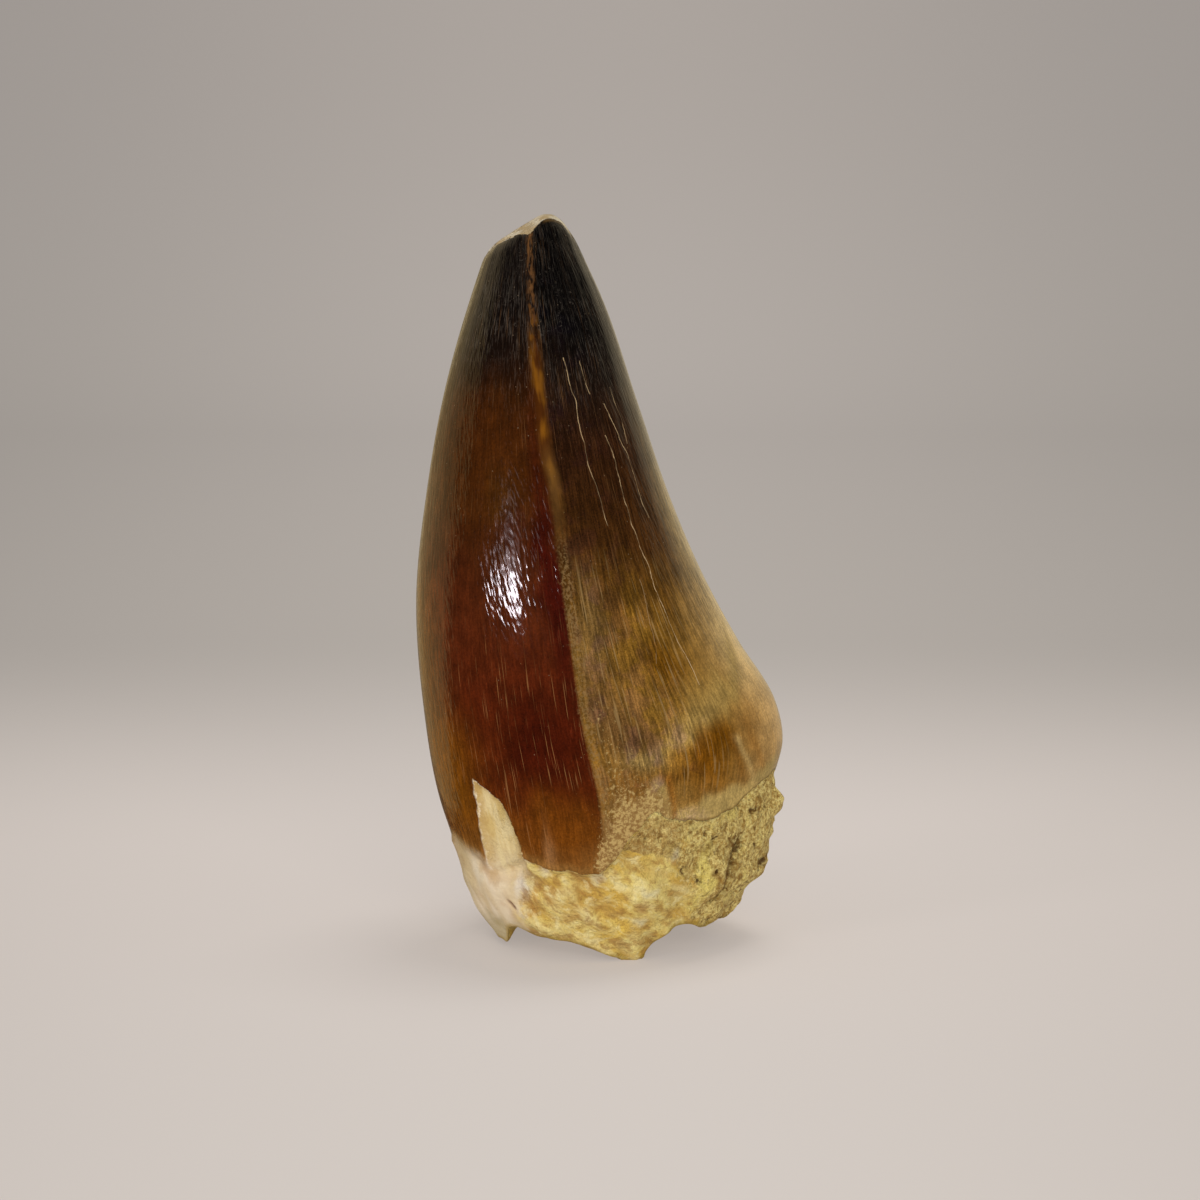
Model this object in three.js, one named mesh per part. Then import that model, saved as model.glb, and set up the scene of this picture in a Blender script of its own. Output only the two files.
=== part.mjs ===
// A fossil mosasaur tooth: one natural solid, a curved crown of glossy enamel on a stub of broken root.
// Millimetres, +Z up. -Y is the side where the front keel shows, +X the side that flares at the base.
// The origin is on the floor under the middle of the tooth, which stands on the worn flats of its root.
import * as THREE from "three";

// ---- Driving dimensions -------------------------------------------------------------------------

const HEIGHT = 60.5; // floor to the highest point of the broken tip

// Each outline is a list of [height, place] pairs that a smooth curve passes through.
// Left and right are the widest places of the section at a height, seen along +Y.
const LEFT_X = [
  [0, -9.0], [5, -11.55], [8.6, -12.4], [12, -13.45], [20, -14.8], [29, -15.33],
  [38, -14.4], [47, -12.7], [54, -10.65], [58, -9.25], [62, -7.5],
];
const RIGHT_X = [
  [0, 7.6], [1.6, 9.9], [2.8, 11.35], [3.6, 11.95], [4.9, 12.75], [5.6, 13.6], [6.4, 14.05],
  [8, 14.15], [10, 14.4], [14, 14.7], [17, 15.33],
  [20.3, 14.65], [25.4, 11.5], [30.5, 8.75], [37, 5.95], [45, 3.2], [54, 0.1], [58, -1.75], [62, -3.5],
];
// The front keel runs from the tip to the root on the -Y side, and the back keel on the +Y side.
const FRONT_X = [
  [0, 1.5], [10, 0.5], [15, -0.1], [20, -1.2], [27, -2.3], [33, -3.2],
  [38, -3.8], [45, -4.7], [52, -5.4], [57, -5.7], [62, -5.8],
];
const FRONT_Y = [
  [0, -8.4], [3, -9.9], [10, -12.4], [17, -13.5], [24, -13.3], [31, -12.0],
  [38, -9.9], [47, -6.6], [54, -3.5], [58, -1.5], [62, 0.8],
];
const BACK_X = [[0, 0.0], [10, 0.8], [20, 0.2], [30, -2.4], [40, -4.2], [50, -5.2], [62, -5.6]];
const BACK_Y = [
  [0, 8.6], [3, 10.2], [10, 12.6], [17, 13.5], [24, 13.4], [31, 12.5],
  [38, 11.1], [47, 8.9], [54, 7.2], [58, 6.1], [62, 5.2],
];
// The sections are widest from left to right along this line, which leans back towards the tip.
const MIDDLE_Y = [[0, 0], [20, 0], [38, 0.6], [47, 1.2], [62, 2.6]];
// How far each face is flattened towards the keels: 0 is an ellipse, 1 a lozenge.
const LEFT_FLATTENING = [[0, 0], [6, 0.05], [14, 0.2], [30, 0.2], [50, 0.16], [62, 0.05]];
const RIGHT_FLATTENING = [[0, 0], [6, 0.05], [14, 0.3], [30, 0.26], [50, 0.16], [62, 0.05]];

// The break that took the tip off, as [place, height] pairs from left to right.
const TIP_BREAK_Z = [
  [-10, 57.0], [-9.1, 57.95], [-7.45, 59.0], [-6.1, 59.75], [-4.4, HEIGHT],
  [-3.45, 60.35], [-2.75, 59.8], [-2.3, 59.1], [-1.65, 57.4],
];

// Heights that change around the tooth are lists of [turn, height] pairs. The turn is in degrees
// from the front keel: 90 is the right side, 180 the back keel, and 270 the left side.
// The rim is the jagged lower edge of the root, with a worn toe at 12 and a spike at 298.
const RIM_Z = [
  [0, 0.25], [5, 0.05], [9, -0.05], [15, -0.05], [19, 0.3], [23, 1.2], [28, 2.4], [35, 2.9],
  [50, 2.25], [60, 2.2], [79, 2.0], [95, 1.3], [115, 0.8], [140, 0.6], [180, 0.6], [225, 0.5],
  [262, 0.45], [285, 0.5], [294, 0.6], [298.3, 0.5], [301.5, 1.2], [305, 1.9], [309, 2.25],
  [313, 2.3], [319, 1.75], [330, 1.7], [338, 1.6], [345, 1.25], [352, 0.75],
];
const SPIKE_TURNS = [298.3, 304.4, 309.9]; // more columns of faces, which draw the spike
// The lower margin of the enamel.
const MARGIN_Z = [
  [0, 8.9], [6.6, 10.8], [12, 12.1], [16, 13.3], [23, 12.6], [30, 12.2], [43, 12.2], [48, 12.75],
  [55, 13.3], [63, 14.1], [74, 14.6], [90, 14.4], [120, 12.6], [150, 10.6], [180, 9.2], [215, 8.2],
  [245, 8.7], [270, 8.9], [289, 8.7], [305, 8.0], [310, 7.6], [320, 8.2], [327, 8.7], [343, 8.45],
  [357, 8.5],
];
// How far the root lies inside the enamel at its margin. Below 0 it bulges past it.
const LEDGE = [
  [0, 0.35], [12, 0.1], [30, 0.4], [60, 0.35], [85, 0.0], [110, 0.3], [180, 0.4], [240, 0.3],
  [268, 0.2], [295, 0.1], [315, 0.3], [340, 0.35],
];

const KEEL_RIDGE = { height: 0.28, halfWidth: 0.8 };
const KEEL_NOTCH = { depth: 0.5, halfWidth: 0.9 }; // the dent that the front keel leaves in the tip's edge
const WORN_EDGE = { depth: 0.2, reach: 1.0 }; // how the enamel rounds over into the broken tip
const BREAK = { size: 1.3, roughness: 0.22, lip: 0.5 }; // lip: where it bends to the edge, as a share

const ROOT_EDGE = 0.6; // how far below the enamel's margin the root takes on its own form
const LUMPS = [{ size: 3.1, height: 0.34 }, { size: 1.5, height: 0.2 }];
// The sandy crust covers the root round to the right side, from a turn that goes with the height.
const CRUST = { softness: 8, to: 108, fade: 20, grainSize: 0.9, grain: 0.14 };
const CRUST_FROM = [[2.5, 42], [3.7, 35], [5.2, 29], [7.8, 24], [9.2, 20], [9.9, 8], [10.5, -5]];
const PITS = { size: 1.0, depth: 0.5, from: 0.35, full: 0.8 }; // from a noise value, full at another
// A crevice in it, as [height, turn] pairs from its lower to its upper end.
const CREVICE = [[4.5, 46], [5.5, 50], [7.2, 51], [8.3, 54], [9.8, 58]];
const CREVICE_CUT = { halfWidth: 0.5, depth: 0.8, from: 4, to: 10.5, fade: 1.1 };
const CREVICE_RADIUS = 13; // of the root there
// The nub of root that stands out under the enamel on the right, and the nick above it.
const NUB = { x: 14.9, y: -1.2, z: 11.9, radius: 1.5, height: 0.85 };
const NICK = { x: 14.4, y: -0.8, z: 14.1, radius: 0.8, height: -0.4 };
// A flake has come off the enamel at the lower left. Its corners are [x, height], from the top.
const FLAKE = { depth: 0.45, softness: 0.5 };
const FLAKE_CORNERS = [[-10.5, 15.3], [-10.0, 11.0], [-9.0, 6.2], [-5.8, 7.0], [-6.9, 11.4], [-8.2, 13.7]];

// The underside rises from the rest flats towards the front, where the rim is broken higher.
// The rise starts at this y for each x, and is complete a reach further forward.
const UNDERSIDE = { x: -0.5, y: 0.5, liftReach: 3, lumpSize: 2.2, roughness: 0.35 };
const FRONT_LIFT = [[-9, 1.9], [3, 1.9], [5.5, 2.8], [8, 2.7], [11, 2.2]]; // the rise for each x
const LIFT_START_Y = [[-9, 5], [-7, 4.6], [-5.6, 0], [-4, -1], [0, -1], [4, 3], [8, 3.6], [10, 6]];
const PULP_HOLLOW = { x: 2.6, y: 1.2, radius: 2.6, depth: 1.2 };
const REST_FLATS = [
  { x: -2.9, y: 4.3, radius: 3.5 },
  { x: 4.4, y: 6.3, radius: 2.4 },
  { x: 2.5, y: -6.9, radius: 1.2 },
];
const FLAT_CUT = 0.8; // how far the root would reach below the floor if the flats weren't worn
const FLAT_EDGE = { from: 0.8, to: 1.25 }; // where a flat starts to bend up and has ended, in its radii
const BUMP_CORE = 0.35; // how much of a bump's or a hollow's radius has its full height

// The mesh's fineness.
const EVEN_COLUMNS = 80;
const WALL_ROWS = 44;
const UNDERSIDE_ROWS = 7;
const TIP_ROWS = 3;
const ROW_CROWDING = 1.3; // above 1, the wall's rows crowd towards the rough root
const COLUMN_CROWDING = 0.22; // above 0, the columns crowd towards the two keels
const UNDERSIDE_CROWDING = 1.5; // above 1, the underside's rows crowd towards the rim
const TIP_STEPS = 30; // of closing in on the tip's height
const RIM_LIP_FROM = 0.86; // where the underside starts to bend to the rim, as a share of the way to it

// ---- Curves and noise ---------------------------------------------------------------------------

// A smooth curve through [place, value] pairs, as a function. A period makes it close on itself.
function curve(pairs, period = 0) {
  const first = pairs[0];
  const last = pairs[pairs.length - 1];
  const all = period
    ? [
        [last[0] - period, last[1]],
        ...pairs,
        [first[0] + period, first[1]],
        [pairs[1][0] + period, pairs[1][1]],
      ]
    : pairs;
  const slope = (i) => (all[i + 1][1] - all[i][1]) / (all[i + 1][0] - all[i][0]);
  const tangent = (i) => {
    if (i === 0) return slope(0);
    if (i === all.length - 1) return slope(i - 1);
    const before = all[i][0] - all[i - 1][0];
    const after = all[i + 1][0] - all[i][0];
    return (slope(i - 1) * after + slope(i) * before) / (before + after);
  };
  return (place) => {
    const at = period ? ((place % period) + period) % period : place;
    let i = all.findIndex((pair) => pair[0] > at) - 1;
    if (i < 0) i = at < all[0][0] ? 0 : all.length - 2;
    const width = all[i + 1][0] - all[i][0];
    const t = THREE.MathUtils.clamp((at - all[i][0]) / width, 0, 1);
    return (
      all[i][1] * (1 + 2 * t) * (1 - t) ** 2 +
      all[i + 1][1] * t * t * (3 - 2 * t) +
      tangent(i) * width * t * (1 - t) ** 2 -
      tangent(i + 1) * width * t * t * (1 - t)
    );
  };
}

const [leftX, rightX, frontX, frontY, backX, backY, middleY, leftFlattening, rightFlattening] = [
  LEFT_X, RIGHT_X, FRONT_X, FRONT_Y, BACK_X, BACK_Y, MIDDLE_Y, LEFT_FLATTENING, RIGHT_FLATTENING,
].map((pairs) => curve(pairs));
const tipBreakZ = curve(TIP_BREAK_Z);
const liftStartY = curve(LIFT_START_Y);
const frontLift = curve(FRONT_LIFT);
const crustFrom = curve(CRUST_FROM);
const creviceTurn = curve(CREVICE);
const [rimZ, marginZ, ledge] = [RIM_Z, MARGIN_Z, LEDGE].map((pairs) => curve(pairs, 360));

const { smoothstep } = THREE.MathUtils;
const fall = (value, high, low) => 1 - smoothstep(value, low, high); // 1 below low, 0 above high

// Smooth noise from -1 to 1, with one bump to a unit of length. Where several are used at one place,
// a number added to their coordinates makes them differ.
function noise(x, y, z) {
  const corner = [Math.floor(x), Math.floor(y), Math.floor(z)];
  const share = [x, y, z].map((v, i) => {
    const t = v - corner[i];
    return t * t * (3 - 2 * t);
  });
  let sum = 0;
  for (let n = 0; n < 8; n++) {
    const step = [n & 1, (n >> 1) & 1, n >> 2];
    const [i, j, k] = corner.map((c, axis) => c + step[axis]);
    const wave = Math.sin(i * 127.1 + j * 311.7 + k * 74.7) * 43758.5453;
    const weight = share.reduce((w, t, axis) => w * (step[axis] ? t : 1 - t), 1);
    sum += (wave - Math.floor(wave)) * weight;
  }
  return 2 * sum - 1;
}

// ---- The wall: crown and root, from the rim to the tip --------------------------------------------

// The plain section's point at a turn (radians from the front keel) and a height.
function section(turn, z) {
  const across = Math.abs(Math.sin(turn));
  const along = Math.abs(Math.cos(turn));
  const right = Math.sin(turn) >= 0;
  const front = Math.cos(turn) >= 0;
  const keelX = front ? frontX(z) : backX(z);
  const keelY = front ? frontY(z) : backY(z);
  const sideX = right ? rightX(z) : leftX(z);
  const flattening = right ? rightFlattening(z) : leftFlattening(z);
  const reach = (1 - flattening) * along + flattening * (1 - across);
  return new THREE.Vector3(keelX + (sideX - keelX) * across, middleY(z) + (keelY - middleY(z)) * reach, z);
}

// The height where the wall meets the break, found by closing in on it.
function tipHeight(turn) {
  let z = HEIGHT;
  for (let i = 0; i < TIP_STEPS; i++) z = (z + tipBreakZ(section(turn, z).x)) / 2;
  const fromKeel = Math.abs(section(turn, z).x - frontX(z)) / KEEL_NOTCH.halfWidth;
  return z - (Math.cos(turn) > 0 ? KEEL_NOTCH.depth * Math.exp(-(fromKeel ** 2)) : 0);
}

// A round bump, or a dent if its height is below 0, fading to nothing at its radius.
function bump(point, { x, y, z, radius, height }) {
  const away = Math.hypot(point.x - x, point.y - y, point.z - z);
  return height * fall(away, radius, radius * BUMP_CORE);
}

// 1 inside the flake's corners, fading to 0 at its edges.
function insideFlake(point) {
  if (point.y > 0) return 0;
  return FLAKE_CORNERS.reduce((inside, [x, z], i) => {
    const [nextX, nextZ] = FLAKE_CORNERS[(i + 1) % FLAKE_CORNERS.length];
    const length = Math.hypot(nextX - x, nextZ - z);
    const depth = ((nextX - x) * (point.z - z) - (nextZ - z) * (point.x - x)) / length;
    return inside * smoothstep(depth, 0, FLAKE.softness);
  }, 1);
}

// How far the surface stands out of the plain section at a point.
function relief(point, turn, tipZ) {
  const degrees = THREE.MathUtils.radToDeg(turn);
  const below = marginZ(degrees) - point.z;
  const root = smoothstep(below, 0, ROOT_EDGE);
  let out = -ledge(degrees) * root;
  for (const { size, height } of LUMPS)
    out += root * height * noise(point.x / size, point.y / size, point.z / size);
  // The pitted crust on the right of the root.
  const from = crustFrom(point.z);
  const crust =
    root * smoothstep(degrees, from, from + CRUST.softness) * fall(degrees, CRUST.to, CRUST.to - CRUST.fade);
  const pits = noise(point.x / PITS.size + 5, point.y / PITS.size, point.z / PITS.size);
  const grain = noise(point.x / CRUST.grainSize, point.y / CRUST.grainSize, point.z / CRUST.grainSize + 9);
  out += crust * (CRUST.grain * grain - PITS.depth * smoothstep(pits, PITS.from, PITS.full));
  const fromCrevice = THREE.MathUtils.degToRad(degrees - creviceTurn(point.z)) * CREVICE_RADIUS;
  const creviceEnds =
    smoothstep(point.z, CREVICE_CUT.from, CREVICE_CUT.from + CREVICE_CUT.fade) *
    fall(point.z, CREVICE_CUT.to, CREVICE_CUT.to - CREVICE_CUT.fade);
  out -= creviceEnds * CREVICE_CUT.depth * Math.exp(-((fromCrevice / CREVICE_CUT.halfWidth) ** 2));
  // The keels, which fade out on the root.
  const keel = Math.cos(turn) > 0 ? frontX(point.z) : backX(point.z);
  out += (1 - root) * KEEL_RIDGE.height * Math.exp(-(((point.x - keel) / KEEL_RIDGE.halfWidth) ** 2));
  out -= FLAKE.depth * insideFlake(point);
  out += bump(point, NUB) + bump(point, NICK);
  out -= WORN_EDGE.depth * smoothstep(point.z, tipZ - WORN_EDGE.reach, tipZ) ** 2;
  return out;
}

function wallPoint(turn, share) {
  const low = rimZ(THREE.MathUtils.radToDeg(turn));
  const high = tipHeight(turn);
  const z = low + (high - low) * share;
  const point = section(turn, z);
  const keelX = Math.cos(turn) > 0 ? frontX(z) : backX(z);
  const outward = new THREE.Vector3(point.x - keelX, point.y - middleY(z), 0).normalize();
  return point.addScaledVector(outward, relief(point, turn, high));
}

// ---- The underside and the broken tip -------------------------------------------------------------

// The height of the underside over the floor, away from the rim.
function undersideZ(x, y) {
  const start = liftStartY(x);
  let z = frontLift(x) * fall(y, start, start - UNDERSIDE.liftReach);
  z += UNDERSIDE.roughness * (0.5 + noise(x / UNDERSIDE.lumpSize, y / UNDERSIDE.lumpSize, 3));
  const fromPulp = Math.hypot(x - PULP_HOLLOW.x, y - PULP_HOLLOW.y);
  z += PULP_HOLLOW.depth * fall(fromPulp, PULP_HOLLOW.radius, PULP_HOLLOW.radius * BUMP_CORE);
  return z;
}

function undersidePoint(rimPoint, share) {
  const x = UNDERSIDE.x + (rimPoint.x - UNDERSIDE.x) * share;
  const y = UNDERSIDE.y + (rimPoint.y - UNDERSIDE.y) * share;
  let z = THREE.MathUtils.lerp(undersideZ(x, y), rimPoint.z, smoothstep(share, RIM_LIP_FROM, 1));
  for (const flat of REST_FLATS) {
    const away = Math.hypot(x - flat.x, y - flat.y) / flat.radius;
    z -= (z + FLAT_CUT) * fall(away, FLAT_EDGE.to, FLAT_EDGE.from);
  }
  return new THREE.Vector3(x, y, Math.max(0, z));
}

function tipPoint(edgePoint, centre, share) {
  const point = new THREE.Vector3().lerpVectors(centre, edgePoint, share);
  const rough = BREAK.roughness * (noise(point.x / BREAK.size, point.y / BREAK.size, 7) - 1);
  const level = tipBreakZ(point.x) + rough;
  point.z = THREE.MathUtils.lerp(level, edgePoint.z, smoothstep(share, BREAK.lip, 1));
  return point;
}

// ---- The solid ----------------------------------------------------------------------------------

// Rings of points from the middle of the underside, up the wall, to the middle of the tip.
function rings() {
  const even = Array.from({ length: EVEN_COLUMNS }, (_, i) => (i / EVEN_COLUMNS) * 2 * Math.PI);
  const crowded = even.map((turn) => turn - COLUMN_CROWDING * Math.sin(2 * turn));
  const turns = [...crowded, ...SPIKE_TURNS.map(THREE.MathUtils.degToRad)].sort((a, b) => a - b);
  const wall = Array.from({ length: WALL_ROWS + 1 }, (_, row) =>
    turns.map((turn) => wallPoint(turn, (row / WALL_ROWS) ** ROW_CROWDING)),
  );
  const rim = wall[0];
  const edge = wall[WALL_ROWS];
  const underside = Array.from({ length: UNDERSIDE_ROWS - 1 }, (_, row) => {
    const share = 1 - (1 - (row + 1) / UNDERSIDE_ROWS) ** UNDERSIDE_CROWDING;
    return rim.map((point) => undersidePoint(point, share));
  });
  const centre = edge.reduce((sum, point) => sum.add(point), new THREE.Vector3()).divideScalar(turns.length);
  const tip = Array.from({ length: TIP_ROWS - 1 }, (_, row) =>
    edge.map((point) => tipPoint(point, centre, 1 - (row + 1) / TIP_ROWS)),
  );
  for (const point of wall.flat()) point.z = Math.max(0, point.z);
  return {
    bottom: undersidePoint(rim[0], 0),
    rings: [...underside, ...wall, ...tip],
    top: tipPoint(edge[0], centre, 0),
  };
}

// One closed surface: quads between the rings, and a fan at the bottom and at the top.
function toothGeometry() {
  const { bottom, rings: all, top } = rings();
  const points = [bottom, ...all.flat(), top];
  const last = points.length - 1;
  const columns = all[0].length;
  const at = (row, column) => 1 + row * columns + (column % columns);
  const faces = [];
  for (let column = 0; column < columns; column++) {
    faces.push(0, at(0, column + 1), at(0, column));
    for (let row = 0; row + 1 < all.length; row++) {
      faces.push(at(row, column), at(row, column + 1), at(row + 1, column + 1));
      faces.push(at(row, column), at(row + 1, column + 1), at(row + 1, column));
    }
    faces.push(at(all.length - 1, column), at(all.length - 1, column + 1), last);
  }
  const geometry = new THREE.BufferGeometry().setFromPoints(points);
  geometry.setIndex(faces);
  geometry.computeVertexNormals();
  return geometry;
}

const tooth = new THREE.Mesh(
  toothGeometry(),
  new THREE.MeshStandardMaterial({ color: 0x6b4420, roughness: 0.35, metalness: 0 }),
);
tooth.name = "tooth";

const group = new THREE.Group();
group.add(tooth);

export default group;
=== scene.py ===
"""A fossil mosasaur tooth, standing on its broken root in a plain light studio.

The tooth is one dense mesh that replaces the CAD solid of the same form. Its fine relief is real
geometry, and its colours are procedural: broad washes and stains are worked out for each point of the
mesh, and the material's nodes add the striae, cracks, grain and mottling.
Lengths are millimetres until the mesh is made. A turn is an angle in degrees from the front keel:
90 is the right side, 180 the back keel and -90 the left side.
"""

import math

import bpy
import numpy as np
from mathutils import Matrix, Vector


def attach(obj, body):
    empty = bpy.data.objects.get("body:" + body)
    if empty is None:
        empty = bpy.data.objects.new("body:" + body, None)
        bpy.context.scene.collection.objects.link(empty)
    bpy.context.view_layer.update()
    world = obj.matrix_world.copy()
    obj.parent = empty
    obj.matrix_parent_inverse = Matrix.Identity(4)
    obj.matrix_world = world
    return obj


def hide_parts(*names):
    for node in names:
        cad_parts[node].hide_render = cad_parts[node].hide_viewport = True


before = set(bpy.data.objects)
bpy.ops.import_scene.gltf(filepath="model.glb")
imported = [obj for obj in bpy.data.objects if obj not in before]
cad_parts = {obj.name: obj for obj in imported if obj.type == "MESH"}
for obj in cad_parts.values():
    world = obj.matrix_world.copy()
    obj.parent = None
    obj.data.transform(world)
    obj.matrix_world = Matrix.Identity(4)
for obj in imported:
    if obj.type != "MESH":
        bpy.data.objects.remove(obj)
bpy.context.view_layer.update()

MM = 0.001


def put(name, data):
    """Puts a new object in the scene."""
    thing = bpy.data.objects.new(name, data)
    bpy.context.scene.collection.objects.link(thing)
    return thing


# ---- Camera ----

CAMERA = {"lens": 120, "sensor": 36, "elevation": 10, "distance": 333.33, "look_at": (0, 0, 28.78)}


def add_camera():
    elevation = math.radians(CAMERA["elevation"])
    x, y, z = CAMERA["look_at"]
    back = CAMERA["distance"]
    data = bpy.data.cameras.new("camera")
    data.lens = CAMERA["lens"]
    data.sensor_width = CAMERA["sensor"]
    data.clip_start = 0.01
    camera = put("camera", data)
    camera.location = Vector((x, y - back * math.cos(elevation), z + back * math.sin(elevation))) * MM
    camera.rotation_euler = (math.pi / 2 - elevation, 0, 0)
    bpy.context.scene.camera = camera


add_camera()

# ---- The tooth's form: the same driving dimensions as the solid's ----

HEIGHT = 60.5
LEFT_X = [
    (0, -9), (5, -11.55), (8.6, -12.4), (12, -13.45), (20, -14.8), (29, -15.33),
    (38, -14.4), (47, -12.7), (54, -10.65), (58, -9.25), (62, -7.5),
]
RIGHT_X = [
    (0, 7.6), (1.6, 9.9), (2.8, 11.35), (3.6, 11.95), (4.9, 12.75), (5.6, 13.6), (6.4, 14.05),
    (8, 14.15), (10, 14.4), (14, 14.7), (17, 15.33),
    (20.3, 14.65), (25.4, 11.5), (30.5, 8.75), (37, 5.95), (45, 3.2), (54, 0.1), (58, -1.75),
    (62, -3.5),
]
FRONT_X = [
    (0, 1.5), (10, 0.5), (15, -0.1), (20, -1.2), (27, -2.3), (33, -3.2),
    (38, -3.8), (45, -4.7), (52, -5.4), (57, -5.7), (62, -5.8),
]
FRONT_Y = [
    (0, -8.4), (3, -9.9), (10, -12.4), (17, -13.5), (24, -13.3), (31, -12),
    (38, -9.9), (47, -6.6), (54, -3.5), (58, -1.5), (62, 0.8),
]
BACK_X = [(0, 0), (10, 0.8), (20, 0.2), (30, -2.4), (40, -4.2), (50, -5.2), (62, -5.6)]
BACK_Y = [
    (0, 8.6), (3, 10.2), (10, 12.6), (17, 13.5), (24, 13.4), (31, 12.5),
    (38, 11.1), (47, 8.9), (54, 7.2), (58, 6.1), (62, 5.2),
]
MIDDLE_Y = [(0, 0), (20, 0), (38, 0.6), (47, 1.2), (62, 2.6)]
LEFT_FLATTENING = [(0, 0), (6, 0.05), (14, 0.2), (30, 0.2), (50, 0.16), (62, 0.05)]
RIGHT_FLATTENING = [(0, 0), (6, 0.05), (14, 0.3), (30, 0.26), (50, 0.16), (62, 0.05)]
TIP_BREAK_Z = [
    (-10, 57), (-9.1, 57.95), (-7.45, 59), (-6.1, 59.75), (-4.4, HEIGHT),
    (-3.45, 60.35), (-2.75, 59.8), (-2.3, 59.1), (-1.65, 57.4),
]
RIM_Z = [
    (0, 0.25), (5, 0.05), (9, -0.05), (15, -0.05), (19, 0.3), (23, 1.2), (28, 2.4), (35, 2.9),
    (50, 2.25), (60, 2.2), (79, 2), (95, 1.3), (115, 0.8), (140, 0.6), (180, 0.6), (225, 0.5),
    (262, 0.45), (285, 0.5), (294, 0.6), (298.3, 0.5), (301.5, 1.2), (305, 1.9), (309, 2.25),
    (313, 2.3), (319, 1.75), (330, 1.7), (338, 1.6), (345, 1.25), (352, 0.75),
]
MARGIN_Z = [
    (0, 8.9), (6.6, 10.8), (12, 12.1), (16, 13.3), (23, 12.6), (30, 12.2), (43, 12.2), (48, 12.75),
    (55, 13.3), (63, 14.1), (74, 14.6), (90, 14.4), (120, 12.6), (150, 10.6), (180, 9.2), (215, 8.2),
    (245, 8.7), (270, 8.9), (289, 8.7), (305, 8), (310, 7.6), (320, 8.2), (327, 8.7), (343, 8.45),
    (357, 8.5),
]
LEDGE = [
    (0, 0.35), (12, 0.1), (30, 0.4), (60, 0.35), (85, 0), (110, 0.3), (180, 0.4), (240, 0.3),
    (268, 0.2), (295, 0.1), (315, 0.3), (340, 0.35),
]
KEEL = {"height": 0.05, "half_width": 0.5}
KEEL_NOTCH = {"depth": 0.5, "half_width": 0.9}
WORN_EDGE = {"depth": 0.2, "reach": 1}
BREAK_ROUGHNESS = 0.22
BREAK_GRAIN = 0.1
FLUTING = {"width": 1.6, "length": 14, "height": 0.05}
RIDGES = {"lean": 38, "length": 3, "width": 1.15, "height": 0.5}  # lean: degrees down to the right
CRUST = {"softness": 8, "to": 108, "fade": 20, "pit_depth": 0.5, "pits": (0.4, 0.85)}
PORCELAIN = {"begins": (232, 262), "ends": (336, 306), "smoothness": 0.85}  # turns to 360
MARGIN_STEP = (0.05, -0.3)  # the enamel's edge steps down to the root between these heights over it
CRUST_FROM = [(2.5, 42), (3.7, 35), (5.2, 29), (7.8, 24), (9.2, 20), (9.9, 8), (10.5, -5)]
CREVICE = [(4.5, 46), (5.5, 50), (7.2, 51), (8.3, 54), (9.8, 58)]
CREVICE_CUT = {"half_width": 0.45, "depth": 0.9, "radius": 13, "from": 4, "to": 10.5, "fade": 1.1}
SLIT = {"turn": -44, "z": 4.5, "half_length": 0.45, "half_width": 0.16, "depth": 0.3}
NUB = {"place": (14.9, -1.2, 11.9), "radius": 1.5, "height": 0.85}
NICK = {"place": (14.4, -0.8, 14.1), "radius": 0.8, "height": -0.4}
FLAKE = {"depth": 0.45, "softness": 0.25, "foot_fade": -2.4}
FLAKE_CORNERS = [(-10.5, 15.3), (-10, 11), (-9, 6.2), (-5.8, 7), (-6.9, 11.4), (-8.2, 13.7)]
UNDERSIDE = {"x": -0.5, "y": 0.5, "lift_reach": 3, "roughness": 0.35, "grain": 0.12}
FRONT_LIFT = [(-9, 1.9), (3, 1.9), (5.5, 2.8), (8, 2.7), (11, 2.2)]
LIFT_START_Y = [(-9, 5), (-7, 4.6), (-5.6, 0), (-4, -1), (0, -1), (4, 3), (8, 3.6), (10, 6)]
PULP_HOLLOW = {"x": 2.6, "y": 1.2, "radius": 2.6, "depth": 1.2}
REST_FLATS = [(-2.9, 4.3, 3.5), (4.4, 6.3, 2.4), (2.5, -6.9, 1.2)]  # x, y and radius
FLAT_CUT = 0.8

# Layers of noise, each with its height (or degrees of turn), its size and a shift that sets it apart.
LAYERS = {
    "margin": [(0.3, 2.1, 11), (0.16, 0.8, 4)],
    "lumps": [(0.34, 3.1, 0), (0.2, 1.5, 0)],
    "grain": [(0.07, 0.8, 2), (0.05, 0.45, 2)],
    "crumbs": [(0.14, 0.9, 9), (0.13, 0.5, 9)],
    "crust's edge": [(3, 1.6, 6)],
    "pits": [(1, 1, 5), (0.4, 0.5, 21)],
    "crevice": [(0.35, 0.9, 12)],
    "porcelain": [(7, 2.4, 14), (4, 0.9, 15)],
    "flake": [(0.12, 1.3, 3), (0.07, 0.5, 7)],
    "stains' turn": [(3, 1.6, 31), (2, 0.6, 32)],
    "stains' height": [(0.5, 1.4, 33), (0.3, 0.55, 34)],
    "washes' turn": [(5, 6, 1), (2, 2.2, 5)],
    "washes' height": [(1.2, 5, 2), (0.5, 1.7, 8)],
    "foot": [(0.3, 0.8, 35)],
    "veins": [(0.6, 1.1, 36)],
}
FLOW_RADIUS = 10  # of the cylinder that the enamel's grain is drawn on
GRAIN_LEAN = 0.019  # radians of twist to a millimetre of height

FAR = 99.0  # mm, for what isn't near

COLUMNS = 400
WALL_ROWS = 212
UNDERSIDE_ROWS = 20
TIP_ROWS = 10
ROW_CROWDING = 1.15
COLUMN_CROWDING = 0.14
UNDERSIDE_CROWDING = 1.5
RIM_LIP_FROM = 0.86


def rise(value, low, high):
    t = np.clip((value - low) / (high - low), 0, 1)
    return t * t * (3 - 2 * t)


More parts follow.
